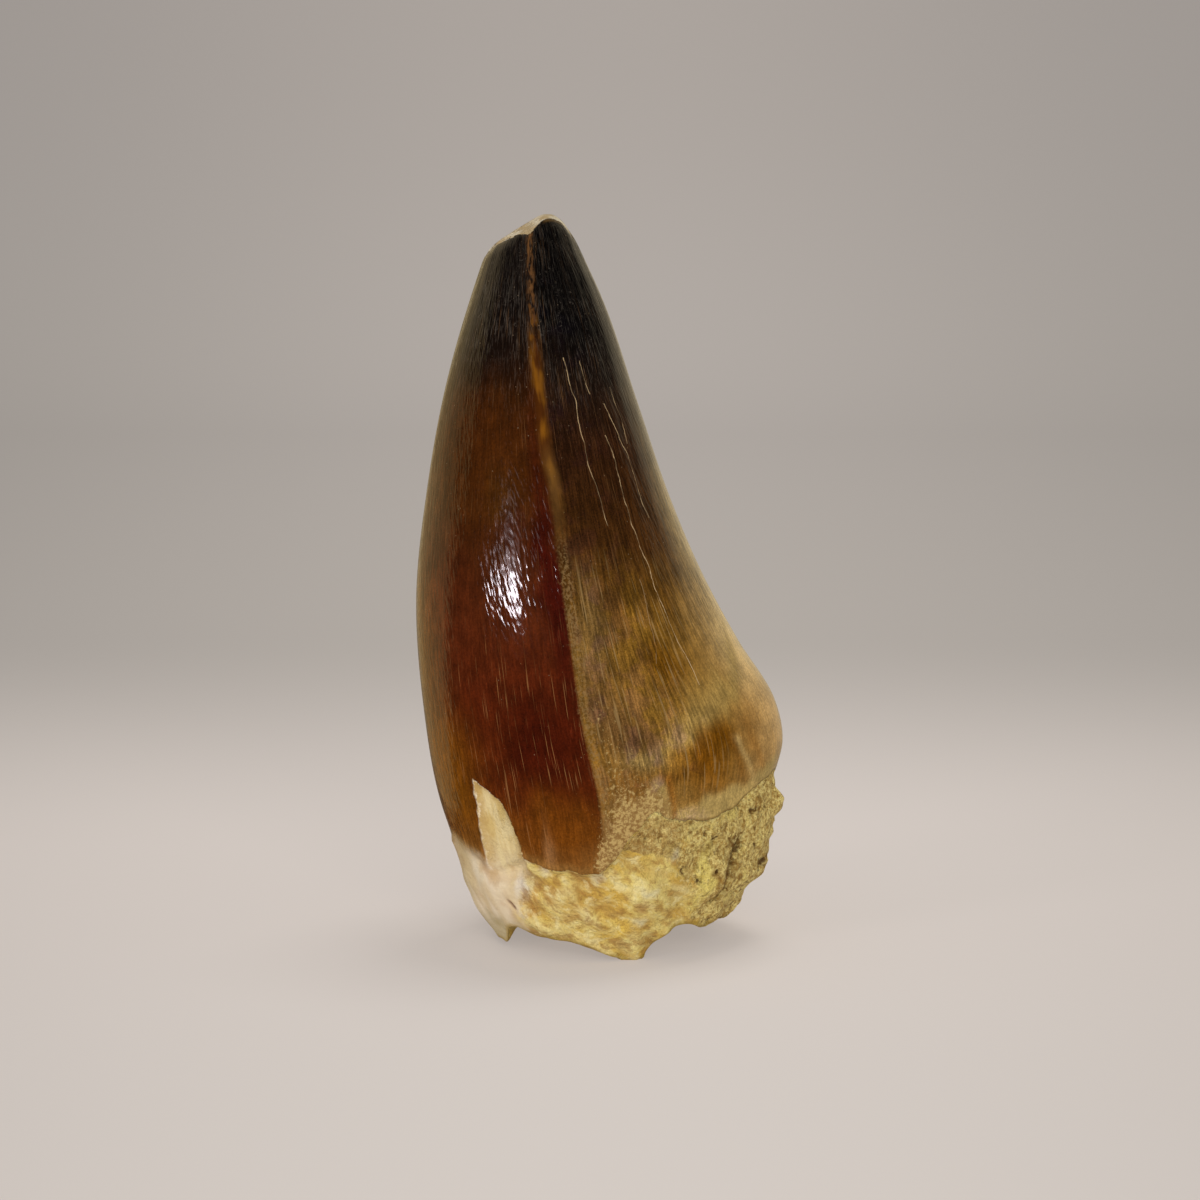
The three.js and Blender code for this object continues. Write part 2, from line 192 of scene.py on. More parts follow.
def fall(value, high, low):
    return 1 - rise(value, low, high)


def blend(a, b, share):
    return a + (b - a) * share


def curve(pairs, period=0):
    """A smooth curve through (place, value) pairs, as a function. With a period it is closed."""
    if period:
        before = [(place - period, value) for place, value in pairs[-1:]]
        pairs = before + pairs + [(place + period, value) for place, value in pairs[:2]]
    places, values = np.array(pairs, float).T
    widths = np.diff(places)
    slopes = np.diff(values) / widths
    inner = (slopes[:-1] * widths[1:] + slopes[1:] * widths[:-1]) / (widths[:-1] + widths[1:])
    tangents = np.concatenate([slopes[:1], inner, slopes[-1:]])

    def at(place):
        place = np.asarray(place, float)
        if period:
            place = place % period
        i = np.clip(np.searchsorted(places, place, side="right") - 1, 0, len(widths) - 1)
        t = np.clip((place - places[i]) / widths[i], 0, 1)
        return (
            values[i] * (1 + 2 * t) * (1 - t) ** 2
            + values[i + 1] * t * t * (3 - 2 * t)
            + tangents[i] * widths[i] * t * (1 - t) ** 2
            - tangents[i + 1] * widths[i] * t * t * (1 - t)
        )

    return at


left_x, right_x, front_x, front_y, back_x, back_y, middle_y, left_flattening, right_flattening = map(
    curve,
    (LEFT_X, RIGHT_X, FRONT_X, FRONT_Y, BACK_X, BACK_Y, MIDDLE_Y, LEFT_FLATTENING, RIGHT_FLATTENING),
)
tip_break_z = curve(TIP_BREAK_Z)
lift_start_y = curve(LIFT_START_Y)
front_lift = curve(FRONT_LIFT)
rim_z, margin_z, ledge = (curve(pairs, 360) for pairs in (RIM_Z, MARGIN_Z, LEDGE))


def noise(x, y, z):
    """Smooth noise from -1 to 1, with one bump to a unit of length."""
    spot = np.stack(np.broadcast_arrays(x, y, z), -1).astype(float)
    corner = np.floor(spot)
    share = spot - corner
    share = share * share * (3 - 2 * share)
    total = 0
    for n in range(8):
        step = np.array([n & 1, (n >> 1) & 1, n >> 2])
        wave = np.sin((corner + step) @ np.array([127.1, 311.7, 74.7])) * 43758.5453
        total = total + (wave - np.floor(wave)) * np.where(step, share, 1 - share).prod(-1)
    return 2 * total - 1


def layered(point, name):
    """The sum of some layers of noise."""
    x, y, z = np.moveaxis(point, -1, 0)
    layers = LAYERS[name]
    return sum(height * noise(x / size + shift, y / size, z / size) for height, size, shift in layers)


def section(turn, z):
    """The plain section's point at a turn (in radians here) and a height."""
    across = np.abs(np.sin(turn))
    along = np.abs(np.cos(turn))
    right = np.sin(turn) >= 0
    front = np.cos(turn) >= 0
    keel_x = np.where(front, front_x(z), back_x(z))
    keel_y = np.where(front, front_y(z), back_y(z))
    side_x = np.where(right, right_x(z), left_x(z))
    flattening = np.where(right, right_flattening(z), left_flattening(z))
    reach = (1 - flattening) * along + flattening * (1 - across)
    y = blend(middle_y(z), keel_y, reach)
    return np.stack([blend(keel_x, side_x, across), y, z + 0 * across], -1)


def tip_height(turn):
    z = np.full_like(turn, HEIGHT)
    for _ in range(30):
        z = (z + tip_break_z(section(turn, z)[..., 0])) / 2
    from_keel = (section(turn, z)[..., 0] - front_x(z)) / KEEL_NOTCH["half_width"]
    return z - np.where(np.cos(turn) > 0, KEEL_NOTCH["depth"] * np.exp(-(from_keel**2)), 0)


def bump(point, spot):
    away = np.linalg.norm(point - spot["place"], axis=-1)
    return spot["height"] * fall(away, spot["radius"], spot["radius"] * 0.35)


def depth_in_flake(point):
    """How far inside the flake's outline a point is, seen from the front. Below 0 it is outside."""
    depth = np.full(point.shape[:-1], FAR)
    for (x, z), (next_x, next_z) in zip(FLAKE_CORNERS, FLAKE_CORNERS[1:] + FLAKE_CORNERS[:1]):
        length = math.hypot(next_x - x, next_z - z)
        inward = ((next_x - x) * (point[..., 2] - z) - (next_z - z) * (point[..., 0] - x)) / length
        depth = np.minimum(depth, inward)
    return np.where(point[..., 1] > 0, -9, depth + layered(point, "flake"))


def wall(turns):
    """Rows of points from the rim to the tip, and what the material needs to know at each."""
    share = (np.arange(WALL_ROWS + 1) / WALL_ROWS)[:, None] ** ROW_CROWDING
    turn = np.broadcast_to(turns, (WALL_ROWS + 1, COLUMNS))
    degrees = np.degrees(turn)
    low, high = rim_z(degrees[:1]), tip_height(turn[:1])
    z = low + (high - low) * share
    point = section(turn, z)
    x = point[..., 0]
    front = np.cos(turn) > 0
    keel_x = np.where(front, front_x(z), back_x(z))
    outward = np.stack([x - keel_x, point[..., 1] - middle_y(z), 0 * z], -1)
    outward /= np.linalg.norm(outward, axis=-1, keepdims=True)

    above = z - margin_z(degrees) + layered(point, "margin")
    root = fall(above, *MARGIN_STEP)
    out = root * (layered(point, "lumps") - ledge(degrees))
    lean = math.radians(RIDGES["lean"])
    round_it = np.where(degrees > 180, degrees - 360, degrees) * math.pi / 180 * FLOW_RADIUS
    along = (round_it * math.cos(lean) - z * math.sin(lean)) / RIDGES["length"]
    across = (round_it * math.sin(lean) + z * math.cos(lean)) / RIDGES["width"]
    crust_from = curve(CRUST_FROM)(z) + layered(point, "crust's edge")
    crust = root * rise(degrees, crust_from, crust_from + CRUST["softness"])
    crust = crust * fall(degrees, CRUST["to"], CRUST["to"] - CRUST["fade"])
    pit = crust * rise(layered(point, "pits"), *CRUST["pits"]) * fall(above, -0.5, -1.3)
    out -= CRUST["pit_depth"] * pit
    from_crevice = np.radians(degrees - curve(CREVICE)(z)) * CREVICE_CUT["radius"]
    from_crevice += layered(point, "crevice")
    low_end, high_end, fade = (CREVICE_CUT[key] for key in ("from", "to", "fade"))
    crevice = rise(z, low_end, low_end + fade) * fall(z, high_end, high_end - fade)
    crevice = crevice * np.exp(-((from_crevice / CREVICE_CUT["half_width"]) ** 2))
    out -= CREVICE_CUT["depth"] * crevice
    pit = np.maximum(pit, crevice)
    out += crust * layered(point, "crumbs")
    wander = layered(point, "porcelain")
    porcelain = rise(degrees + 2 * wander, *PORCELAIN["begins"])
    porcelain = porcelain * fall(degrees + wander, *PORCELAIN["ends"])
    rough = root * (1 - PORCELAIN["smoothness"] * porcelain)
    ridges = rough * (1 - crust) * noise(along, across, 0 * along + 4)
    out += RIDGES["height"] * ridges + rough * layered(point, "grain")

    arc = np.linalg.norm(np.roll(point, -1, 1) - np.roll(point, 1, 1), axis=-1)
    span = (np.roll(turns, -1) - np.roll(turns, 1)) % (2 * math.pi)
    per_radian = arc / span  # how long an arc one radian of turn is here
    signed = (turn + math.pi) % (2 * math.pi) - math.pi
    round_slit = np.radians(np.degrees(signed) - SLIT["turn"]) * per_radian
    slit_along = (round_slit - z + SLIT["z"]) / 2 / SLIT["half_length"]
    slit_across = (round_slit + z - SLIT["z"]) / 2 / SLIT["half_width"]
    slit = np.exp(-(slit_along**4) - slit_across**2)
    out -= SLIT["depth"] * slit
    pit = np.maximum(pit, slit)
    from_front = signed * per_radian
    from_back = ((turn % (2 * math.pi)) - math.pi) * per_radian
    keel = np.where(front, from_front, from_back)
    out += (1 - root) * KEEL["height"] * np.exp(-((keel / KEEL["half_width"]) ** 2))
    round_width = FLOW_RADIUS / FLUTING["width"]
    fluting = noise(round_width * np.cos(turn), round_width * np.sin(turn), z / FLUTING["length"])
    out += (1 - root) * FLUTING["height"] * fluting

    flake = depth_in_flake(point)
    in_scar = rise(flake, 0, FLAKE["softness"]) * rise(above, FLAKE["foot_fade"], 0)
    out -= FLAKE["depth"] * in_scar
    out += bump(point, NUB) + bump(point, NICK)
    out -= WORN_EDGE["depth"] * rise(z, high - WORN_EDGE["reach"], high) ** 2
    point = point + outward * out[..., None]
    point[..., 2] = np.maximum(0, point[..., 2])

    crack_offsets = []
    for _, start, end, path in CRACKS:
        offset = np.radians(np.degrees(signed) - curve(path)(z)) * per_radian
        there = rise(z, start - 0.5, start) * fall(z, end + 0.5, end)
        crack_offsets.append(offset + np.sign(offset) * FAR * (1 - there))
    return point, {
        "turn": np.degrees(signed), "above": above, "below_tip": high - z, "rim": z - low,
        "keel": np.where(front, keel, 9), "crust": crust, "pit": pit, "porcelain": porcelain,
        "ridges": ridges, "flake": flake, "cracks": crack_offsets,
    }


# Pale hairline cracks in the enamel: the strength, the heights where they start and end, and how the
# turn goes with the height.
CRACKS = [
    (0.75, 36.1, 49.7, [
        (36.1, 25.7), (37.3, 25), (38.7, 24.8), (39.6, 24), (40.4, 22.9), (41.7, 22),
        (43, 22.2), (43.7, 21.5), (45.4, 21.6), (46.4, 22.1), (46.9, 20.7), (47.7, 19.8),
        (48.8, 19.4), (49.7, 18.7),
    ]),
    (0.8, 36.3, 46, [
        (36.3, 52.1), (36.8, 51.5), (37.7, 50.3), (39.7, 50.4), (41, 49.9), (41.8, 49.6),
        (42.6, 47.3), (43.6, 46), (44.6, 43.9), (46, 41.3),
    ]),
    (0.85, 23.1, 43.4, [
        (23.1, 41.9), (24.1, 42.6), (25.8, 42.4), (26.7, 41.6), (29.2, 41.4), (31.2, 40.6),
        (32.7, 41.3), (34.6, 39.8), (35.6, 39.6), (36.4, 38.7), (37.2, 39.3), (38.2, 38.7),
        (39.9, 39), (42.2, 38.6), (43.5, 36.6),
    ]),
    (0.5, 42.4, 47.2, [
        (42.4, 51.7), (43.1, 52.3), (44.4, 52.9), (45.2, 51.9), (46.1, 51.1), (47.2, 50.2),
    ]),
    (0.3, 25.2, 32.2, [
        (25.2, 29.1), (27.2, 31.8), (28.8, 32.7), (31, 34.4), (32.2, 34.6),
    ]),
    (0.6, 46.5, 49.4, [
        (46.5, 33), (47.9, 30.9), (49.4, 29.7),
    ]),
]


def underside(rim):
    share = 1 - (1 - np.arange(1, UNDERSIDE_ROWS) / UNDERSIDE_ROWS)[:, None] ** UNDERSIDE_CROWDING
    x, y = (blend(UNDERSIDE[axis], rim[:, i], share) for i, axis in enumerate("xy"))
    start = lift_start_y(x)
    z = front_lift(x) * fall(y, start, start - UNDERSIDE["lift_reach"])
    z = z + UNDERSIDE["roughness"] * (0.5 + noise(x / 2.2, y / 2.2, 3 + 0 * x))
    z = z + UNDERSIDE["grain"] * noise(x / 0.9, y / 0.9, 5 + 0 * x)
    away = np.hypot(x - PULP_HOLLOW["x"], y - PULP_HOLLOW["y"])
    z = z + PULP_HOLLOW["depth"] * fall(away, PULP_HOLLOW["radius"], PULP_HOLLOW["radius"] * 0.3)
    z = blend(z, rim[:, 2], rise(share, RIM_LIP_FROM, 1))
    for flat_x, flat_y, radius in REST_FLATS:
        away = np.hypot(x - flat_x, y - flat_y)
        z = z - (z + FLAT_CUT) * fall(away, radius * 1.25, radius * 0.8)
    return np.stack([x, y, np.maximum(0, z)], -1)


def tip(edge):
    share = (1 - np.arange(1, TIP_ROWS) / TIP_ROWS)[:, None]
    x, y = (blend(edge[:, i].mean(), edge[:, i], share) for i in range(2))
    rough = BREAK_ROUGHNESS * (noise(x / 1.3, y / 1.3, 7 + 0 * x) - 1)
    rough = rough + BREAK_GRAIN * noise(x / 0.5, y / 0.5, 2 + 0 * x)
    level = tip_break_z(x) + rough
    z = blend(level, edge[:, 2], rise(share, 0.6, 1))
    return np.stack([x, y, z], -1)


# ---- The tooth's colours ----


def linear(colour):
    """An 8-bit sRGB colour as linear light."""
    c = np.array(colour, float) / 255
    return np.where(c <= 0.04045, c / 12.92, ((c + 0.055) / 1.055) ** 2.4)


# The enamel's colour at each height on the left and on the right of the keels.
LEFT_ENAMEL = [
    (62, (14, 10, 8)), (53, (17, 11, 8)), (50, (24, 13, 7)), (47, (44, 21, 5)), (44, (58, 27, 5)),
    (41, (62, 30, 5)), (38, (65, 32, 6)), (34, (66, 29, 8)), (28, (80, 33, 11)), (21, (78, 28, 7)),
    (15, (84, 34, 7)), (11, (104, 58, 14)), (8, (128, 86, 38)),
]
RIGHT_ENAMEL = [
    (62, (3, 2, 2)), (52, (8, 6, 5)), (47, (28, 17, 10)), (42, (46, 24, 9)), (38, (56, 31, 9)),
    (34, (64, 37, 11)), (30, (94, 63, 18)), (26, (126, 90, 32)), (22, (134, 98, 36)),
    (18, (138, 98, 34)), (14, (140, 102, 44)), (10, (146, 114, 60)),
]
# Soft patches laid over it in turn: where, half how wide (degrees) and high (mm), colour, strength.
# Some are painted sheen along the silhouettes, as marked below.
WASHES = [
    ("amber window", -27, 42.5, 14, 4.5, (68, 33, 5), 0.7),
    ("olive window", -24, 39, 8, 2, (74, 42, 6), 0.6),
    ("mauve", -17, 36, 7, 2.4, (56, 24, 13), 0.7),
    ("oxblood band", -4, 32, 5, 10, (60, 12, 5), 0.95),
    ("lower oxblood", -15, 18.5, 14, 4.8, (60, 15, 4), 0.85),
    # Painted sheen: the next wash adds to the real reflection along the left silhouette.
    ("left sheen", -84, 36, 20, 13, (92, 68, 44), 0.5),
    ("left flank", -82, 24, 20, 7, (104, 70, 22), 0.65),
    ("left amber", -63, 14.5, 18, 5, (116, 70, 8), 0.85),
    ("left brown", -60, 9.5, 10, 2.5, (112, 66, 12), 0.6),
    ("pale streak", -21, 10.2, 2.4, 1.9, (158, 116, 74), 0.6),
    ("lower amber", -15, 12.2, 16, 2.5, (110, 60, 10), 0.7),
    # Painted sheen: the next wash stands for the grey reflection along the right silhouette, and the
    # two after it are partly that painted sheen and partly paler enamel.
    ("right sheen", 86, 44, 20, 8, (92, 80, 58), 0.7),
    ("right tan", 90, 33, 22, 7, (172, 146, 94), 0.9),
    ("right cream", 82, 25, 22, 4.2, (206, 176, 116), 0.9),
    ("olive field", 30, 27.4, 13, 3.6, (122, 88, 28), 0.65),
    ("dark amber", 36, 24.2, 9, 2.6, (98, 62, 6), 0.9),
    ("dusty keel", 6, 28, 6, 4, (112, 88, 50), 0.6),
    ("dusty patch", 9, 21.5, 8, 4, (94, 66, 36), 0.85),
    ("right flank", 76, 19, 22, 6, (190, 152, 94), 0.9),
    ("flank foot", 70, 14.4, 12, 2, (184, 150, 92), 0.6),
    ("flank shade", 58, 19.6, 5, 2.5, (146, 104, 46), 0.5),
    ("rust", 36, 17, 10, 3.2, (114, 70, 6), 0.95),
    ("upper rust", 44, 19.2, 7, 1.5, (108, 66, 4), 0.95),
    ("lower rust", 26, 15.4, 6, 1.2, (122, 78, 20), 0.7),
    ("brown foot", 10, 15.2, 6, 1.4, (118, 74, 28), 0.6),
    ("pale foot", 13, 17.8, 6, 1.4, (164, 136, 80), 0.8),
    ("back amber", 150, 36, 30, 9, (116, 74, 18), 0.7),
    ("back oxblood", -160, 27, 24, 9, (76, 20, 10), 0.8),
    ("back olive", 150, 21, 34, 5, (122, 98, 48), 0.7),
    ("back tan", -120, 14, 26, 4, (140, 98, 48), 0.6),
]
# A cream veil crosses the right flank. Its height goes with the turn.
VEIL = {
    "path": [(10, 17.9), (18.4, 18.9), (28.5, 19.6), (37.3, 20.9), (52.5, 22.5), (62, 24), (73, 25.2),
             (82, 28)],
    "half_width": 1.25, "half_width_below": 0.8, "colour": (154, 126, 68), "strength": 0.9,
}
# Narrow veins in the right flank: how the turn goes with the height, half the width in degrees.
VEINS = [
    ("rust vein", [(15.4, 64), (17.4, 57.5), (20.5, 54)], 2.2, (154, 108, 48), 0.6),
    ("second rust vein", [(14.4, 53), (16.6, 49), (19, 46)], 1.6, (130, 84, 26), 0.6),
    ("pale vein", [(14.2, 60.5), (16.5, 53), (19.2, 47.5)], 1.4, (192, 160, 100), 0.8),
    ("foot vein", [(12.4, 24), (14.2, 23.4), (16, 22.6)], 1.4, (128, 82, 26), 0.9),
]
# The enamel is paler along its lower margin. On the right this foot's height goes with the turn.
MARGIN_TINT = {"right": (190, 164, 100), "left": (150, 112, 58), "strength": 0.8}
FOOT_HEIGHT = [
    (12, 0.1), (17, 2.4), (21, 2.6), (24, 1.3), (32, 1.2), (35, 1.8), (45, 2), (52, 1.4), (62, 1.5),
    (80, 0.9),
]
WASH_STREAKS = [(0.4, 0.9, 16), (0.24, 0.35, 9)]  # how far they draw a wash up, width and length
# Stains and paler spots on the root, in the same form as the washes. A few are painted light, as
# marked below.
STAINS_AND_PAINTED_LIGHT = [
    # Partly painted highlight: the next stain is pale porcelain with a soft painted highlight on it.
    ("china white", -38, 6.3, 4.5, 1.4, (234, 224, 204), 0.8),
    ("white fold", -61, 6.6, 3.5, 1.8, (232, 220, 190), 0.7),
    ("tan fold", -52, 7, 3, 1.4, (192, 158, 112), 0.8),
    ("tan edge", -80, 8.2, 10, 1.6, (166, 134, 86), 0.7),
    ("olive spike", -60, 2.4, 8, 1, (160, 142, 90), 0.6),
    ("white step", -25.5, 8, 3.5, 0.45, (234, 222, 196), 0.7),
    ("white spot", -3.2, 7.7, 3, 0.6, (226, 222, 188), 0.7),
    ("white foot", 9.5, 3.6, 5, 0.6, (234, 228, 186), 0.75),
    ("white top", 23.8, 9.5, 2.4, 0.6, (230, 228, 192), 0.7),
    ("white middle", 15.5, 6.4, 2.8, 0.8, (234, 228, 196), 0.7),
    ("orange", -31.5, 5.8, 3.2, 0.9, (230, 180, 84), 0.8),
    ("lower orange", -35, 4, 3, 0.8, (216, 168, 84), 0.7),
    ("tan step", -22.5, 6, 3, 0.8, (196, 156, 96), 0.7),
    ("groove", -13.5, 5.8, 2, 0.6, (162, 118, 54), 0.7),
    ("lower groove", -19, 4.6, 3, 0.5, (178, 134, 66), 0.6),
    ("cream lump", -10.7, 4.4, 2.6, 0.8, (244, 226, 164), 0.8),
    ("cream ridge", -18, 6.4, 2.8, 0.6, (240, 218, 148), 0.7),
    ("ochre field", 2, 6.1, 3.5, 1.1, (228, 184, 72), 0.6),
    ("lower ochre", -1, 4.8, 4, 1, (232, 190, 84), 0.6),
    ("brown spot", 13.5, 5.1, 2.2, 0.6, (178, 132, 74), 0.7),
    ("olive spot", 4, 2.2, 3, 0.5, (172, 150, 72), 0.4),
    ("lemon field", 17, 8.4, 7, 1, (238, 216, 124), 0.7),
    ("pitted patch", 26, 6.3, 3.5, 0.9, (166, 124, 58), 0.6),
    ("sandy ochre", 27, 10.5, 2, 0.5, (188, 140, 50), 0.7),
    ("brown band", 29.5, 7.6, 1.8, 1.2, (158, 124, 60), 0.5),
    ("lemon ridge", 37.5, 7, 3.2, 2.6, (248, 226, 122), 1),
    # Partly painted light: the next stain makes the toe paler than its colour, to make up for the
    # shade on its downward face.
    ("pale toe", 8, 1.6, 7, 1, (255, 240, 158), 1),
    ("yellow toe", 3, 3.4, 6, 1, (250, 214, 96), 0.8),
    # Painted shade: the next two stains darken the crevice, partly its dark fill and partly the shade
    # in it.
    ("crevice", 51, 7.2, 4.2, 1.9, (112, 74, 16), 1),
    ("crevice top", 55, 9.6, 3.6, 0.9, (116, 80, 22), 0.8),
    ("pit by the crevice", 60, 9.6, 2, 0.6, (104, 72, 24), 0.8),
    ("pit in the sand", 38, 9.3, 2, 0.4, (124, 88, 32), 0.6),
    ("tan field", -16, 4.9, 6, 1.6, (206, 162, 88), 0.5),
    ("lemon margin", 49, 12.4, 6, 0.8, (236, 214, 120), 0.8),
    ("lemon streak", 33, 11.4, 4, 0.5, (226, 208, 126), 0.7),
]


def height_colours(table, z):
    heights, colours = zip(*sorted(table))
    rgb = linear(colours)
    return np.stack([np.interp(z, heights, rgb[:, i]) for i in range(3)], -1)


def patch(turn, z, at_turn, at_z, width, height):
    away = ((turn - at_turn + 180) % 360 - 180) / width
    return np.exp(-((away**2 + ((z - at_z) / height) ** 2) ** 1.3))


def root_stains_and_light(point, facts):
    """The colour of the stains and of the painted light on the root at each point, and how strong it
    is.
    """
    turn = facts["turn"] + layered(point, "stains' turn")
    z = point[..., 2] + layered(point, "stains' height")
    total = np.zeros(point.shape)
    weight = np.full(z.shape, 1e-4)
    strongest = np.zeros(z.shape)
    for _, at_turn, at_z, width, height, colour, strength in STAINS_AND_PAINTED_LIGHT:
        reach = strength * patch(turn, z, at_turn, at_z, width, height)
        total = total + linear(colour) * (reach**2)[..., None]
        weight = weight + reach**2
        strongest = np.maximum(strongest, reach)
    return total / weight[..., None], strongest


def enamel_tint(point, facts):
    true_turn, true_z, above = facts["turn"], point[..., 2], facts["above"]
    around = np.radians(true_turn) * FLOW_RADIUS
    streaks = sum(
        height * noise(around / width, 0 * around, true_z / length)
        for height, width, length in WASH_STREAKS
    )
    turn = true_turn + layered(point, "washes' turn")
    z = true_z + layered(point, "washes' height") + streaks
    right_side = rise(true_turn, -0.8, 0.8) * fall(true_turn, 178, 150)
    right_side = np.maximum(right_side, fall(true_turn, -150, -185) * 0.5)[..., None]
    tint = blend(height_colours(LEFT_ENAMEL, z), height_colours(RIGHT_ENAMEL, z), right_side)

    def lay(colour, amount):
        nonlocal tint
        tint = blend(tint, linear(colour), amount[..., None])

    for _, at_turn, at_z, width, height, colour, strength in WASHES:
        reach = patch(turn, z, at_turn, at_z, width, height)
        if abs(at_turn) < 60:  # a wash on the front stays on its own side of the keel
            reach = reach * rise(true_turn * np.sign(at_turn), -0.6, 0.8)
        lay(colour, strength * reach)
    from_veil = z - curve(VEIL["path"])(turn)
    half_width = np.where(from_veil > 0, VEIL["half_width"], VEIL["half_width_below"])
    veil = np.exp(-((from_veil / half_width) ** 2)) * rise(turn, 8, 24) * fall(turn, 88, 70)
    lay(VEIL["colour"], VEIL["strength"] * veil)
    foot_height = curve(FOOT_HEIGHT)(np.clip(true_turn, FOOT_HEIGHT[0][0], FOOT_HEIGHT[-1][0]))
    foot = fall(above + layered(point, "foot"), foot_height + 0.7, foot_height - 0.5)
    on_right = rise(true_turn, 14, 17) * fall(true_turn, 84, 70)
    lay(MARGIN_TINT["right"], MARGIN_TINT["strength"] * foot * on_right)
    for _, path, width, colour, strength in VEINS:
        from_vein = true_turn + layered(point, "veins") - curve(path)(true_z)
        reach = np.exp(-((from_vein / width) ** 2))
        first, last = path[0][0], path[-1][0]
        reach = reach * rise(z, first - 0.6, first + 0.4) * fall(z, last + 0.6, last - 0.6)
        lay(colour, strength * reach)
    at_left = fall(above, 1.5, 0.1) * fall(true_turn, -44, -52)
    lay(MARGIN_TINT["left"], MARGIN_TINT["strength"] * at_left)
    lay(MARGIN_TINT["left"], MARGIN_TINT["strength"] / 2 * fall(above, 1, 0.2) * fall(turn, 0, -6))
    return tint


class Graph:
    """A short way to write the nodes of a material or a world."""

    def __init__(self, owner):
        owner.use_nodes = True
        self.owner = owner
        self.tree = owner.node_tree

    def add(self, kind, sockets, output=0, **settings):
        node = self.tree.nodes.new(kind)
        for key, value in settings.items():
            setattr(node, key, value)
        for key, value in sockets.items():
            self.set(node.inputs[key], value)
        return node.outputs[output]

    def set(self, socket, value):
        if isinstance(value, bpy.types.NodeSocket):
            self.tree.links.new(value, socket)
        else:
            socket.default_value = value

    def place(self):
        """Where a point of the object is, in millimetres."""
        return self.stretch(self.add("ShaderNodeTexCoord", {}, "Object"), (1 / MM,) * 3)

    def attribute(self, name, output="Fac"):
        return self.add("ShaderNodeAttribute", {}, output, attribute_name=name)

    def split(self, vector):
        """A vector's three numbers."""
        return self.add("ShaderNodeSeparateXYZ", {0: vector}).node.outputs

    def math(self, operation, result, *others):
        for other in others or (0,):
            result = self.add("ShaderNodeMath", {0: result, 1: other}, operation=operation)
        return result

    def times(self, *values):
        return self.math("MULTIPLY", *values)

    def plus(self, *values):
        return self.math("ADD", *values)

    def minus(self, a, b):
        return self.math("SUBTRACT", a, b)

    def vectors(self, operation, a, b, output=0):
        return self.add("ShaderNodeVectorMath", {0: a, 1: b}, output, operation=operation)

    def stretch(self, vector, scale):
        return self.vectors("MULTIPLY", vector, scale)

    def scale(self, colour, factor):
        return self.add("ShaderNodeVectorMath", {0: colour, "Scale": factor}, operation="SCALE")

    def noise(self, vector, scale, detail=2, roughness=0.5, distortion=0):
        sockets = {"Vector": vector, "Scale": scale, "Detail": detail, "Roughness": roughness,
                   "Distortion": distortion}
        return self.add("ShaderNodeTexNoise", sockets, "Fac")

    def fibres(self, vector, fineness, detail=2, roughness=0.5, distortion=0):
        """Noise with a fineness of its own along each axis."""
        return self.noise(self.stretch(vector, fineness), 1, detail, roughness, distortion)

    def cells(self, vector, scale):
        return self.add("ShaderNodeTexVoronoi", {"Vector": vector, "Scale": scale}, "Distance")

    def span(self, value, low, high, new_low=0, new_high=1):
        """Maps low..high smoothly to new_low..new_high. High may be the smaller one."""
        if high < low:
            low, high, new_low, new_high = high, low, new_high, new_low
        sockets = {"Value": value, "From Min": low, "From Max": high, "To Min": new_low,
                   "To Max": new_high}
        return self.add("ShaderNodeMapRange", sockets, interpolation_type="SMOOTHSTEP")

    def between(self, amount, a, b):
        """A number that goes from a to b."""
        return self.add("ShaderNodeMix", {"Factor": amount, "A": a, "B": b}, "Result")

    def mix(self, amount, a, b, how="MIX"):
        """Mixes two sockets or 8-bit colours. 6, 7 and 2 are the node's sockets for colours."""
        a, b = (c if isinstance(c, bpy.types.NodeSocket) else (*linear(c), 1) for c in (a, b))
        sockets = {0: amount, 6: a, 7: b}
        return self.add("ShaderNodeMix", sockets, 2, data_type="RGBA", blend_type=how)

    def paint(self, colour, coats):
        """Lays coats over a colour. Each has the value that says where it goes, those at which it
        begins and is full, its strength and its colour."""
        for value, begins, full, strength, coat in coats:
            colour = self.mix(self.span(value, begins, full, 0, strength), colour, coat)
        return colour

    def bump(self, height):
        """A normal bent by a height in millimetres."""
        return self.add("ShaderNodeBump", {"Height": height, "Distance": MM, "Strength": 1})


ROUGHNESS = {"root": 0.85, "enamel": 0.08}
SPECULAR = 0.5
# Heights of the fine relief, in millimetres for the whole range of its noise.
WRINKLE_HEIGHT = 0.042
STRIA_HEIGHT = 0.006
ROOT_GRAIN_HEIGHT = 0.4
ROOT_CRUMB_HEIGHT = 0.2
PORE_HEIGHTS = (-0.1, -0.36)  # on the bony root and on the crust
MARGIN_SHARPNESS = (-0.06, 0.07)  # the enamel thins out between these distances over its margin


